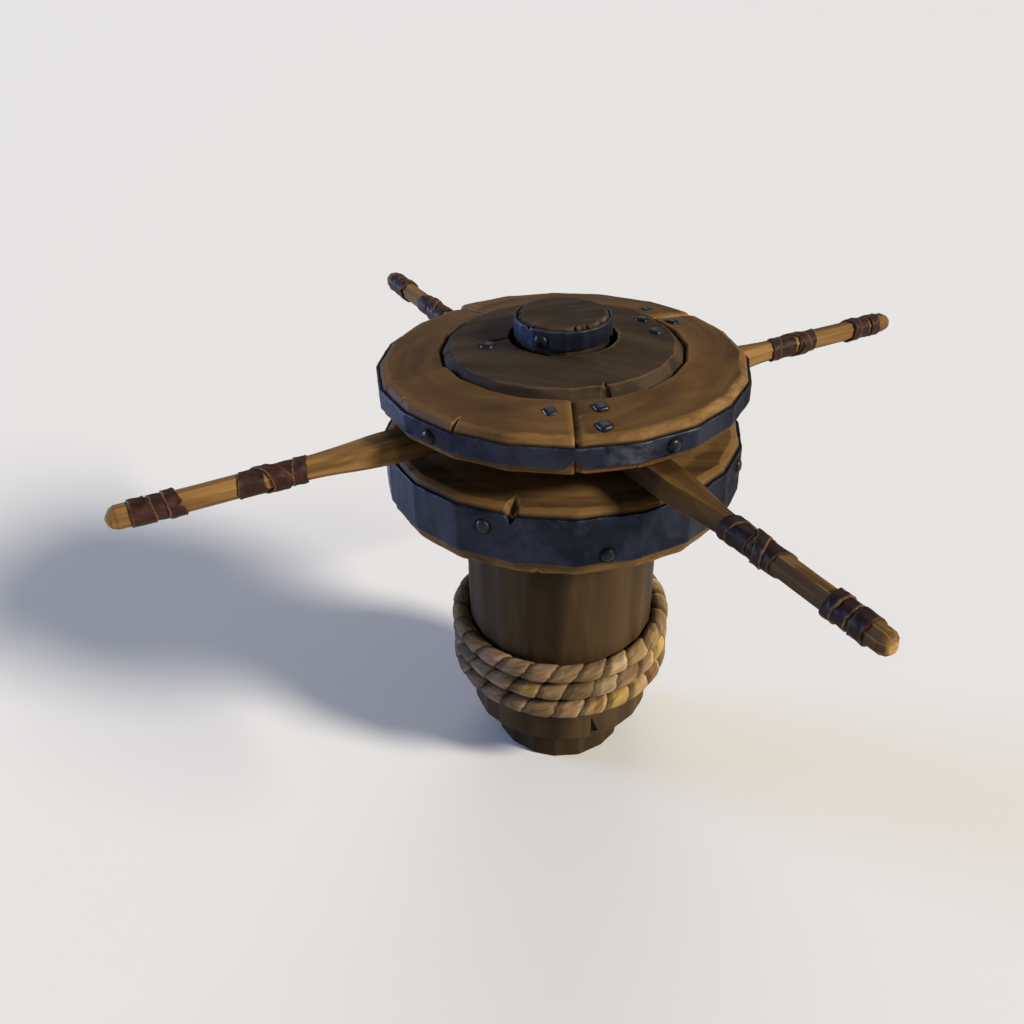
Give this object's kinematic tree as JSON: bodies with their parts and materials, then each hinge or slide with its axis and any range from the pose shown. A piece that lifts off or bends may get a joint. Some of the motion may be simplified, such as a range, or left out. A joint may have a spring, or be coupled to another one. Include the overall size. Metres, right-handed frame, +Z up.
{
  "type": "deck capstan",
  "caption": "Wooden deck capstan: rope-wound barrel turning on a fixed foot, iron-bound double-disc drumhead, and radial bars that slide out of their sockets.",
  "frame": {"origin": "on the turning axis, at the underside of the foot", "axes": "+Z up along the turning axis; the bars lie along +X (right), +Y (back), -X (left) and -Y (front)"},
  "size_m": [2.3, 2.3, 1.33],
  "materials": {
    "barrel_wood": "worn oak with vertical grain",
    "disc_wood": "golden-brown oak with worn edges",
    "dark_wood": "weathered greyish-brown oak",
    "bar_wood": "golden-brown ash, handled smooth",
    "iron": "forged, dark blue-grey, bright worn edges",
    "bronze": "dull bearing bronze",
    "leather": "dark red-brown wound strips with tan edges",
    "rope": "laid hemp rope, straw to tan strands"
  },
  "bodies": {
    "base": {"foot_block": "barrel_wood", "bed_plate": "iron", "bed_bolts": "iron", "spindle": "iron", "thrust_washer": "bronze", "retaining_collar": "iron", "linchpin": "iron", "cap_block": "dark_wood", "cap_hoop": "iron", "cap_rivets": "iron"},
    "drum": {"barrel": "barrel_wood", "lower_bush": "bronze", "upper_bush": "bronze", "lower_disc": "disc_wood", "lower_band": "iron", "lower_band_rivets": "iron", "socket_hub": "barrel_wood", "drumhead_base": "disc_wood", "tie_bolts": "iron", "ring_right": "disc_wood", "ring_back_right": "disc_wood", "ring_back_left": "disc_wood", "ring_front_left": "disc_wood", "upper_band": "iron", "upper_band_rivets": "iron", "inner_disc_front": "dark_wood", "inner_disc_back": "dark_wood", "drumhead_nails": "iron", "rope": "rope"},
    "bar_front": {"bar_front": "bar_wood", "grip_inner_front": "leather", "grip_outer_front": "leather"},
    "bar_right": {"bar_right": "bar_wood", "grip_inner_right": "leather", "grip_outer_right": "leather"},
    "bar_back": {"bar_back": "bar_wood", "grip_inner_back": "leather", "grip_outer_back": "leather"},
    "bar_left": {"bar_left": "bar_wood", "grip_inner_left": "leather", "grip_outer_left": "leather"}
  },
  "joints": [
    {"name": "drum_spin", "type": "hinge", "parent": "base", "child": "drum", "pos_m": [0, 0, 0.19], "axis": [0, 0, 1], "continuous": true},
    {"name": "bar_front_slide", "type": "slide", "parent": "drum", "child": "bar_front", "axis": [0, -1, 0], "range_m": [0, 0.345]},
    {"name": "bar_right_slide", "type": "slide", "parent": "drum", "child": "bar_right", "axis": [1, 0, 0], "range_m": [0, 0.345]},
    {"name": "bar_back_slide", "type": "slide", "parent": "drum", "child": "bar_back", "axis": [0, 1, 0], "range_m": [0, 0.345]},
    {"name": "bar_left_slide", "type": "slide", "parent": "drum", "child": "bar_left", "axis": [-1, 0, 0], "range_m": [0, 0.345]}
  ]
}
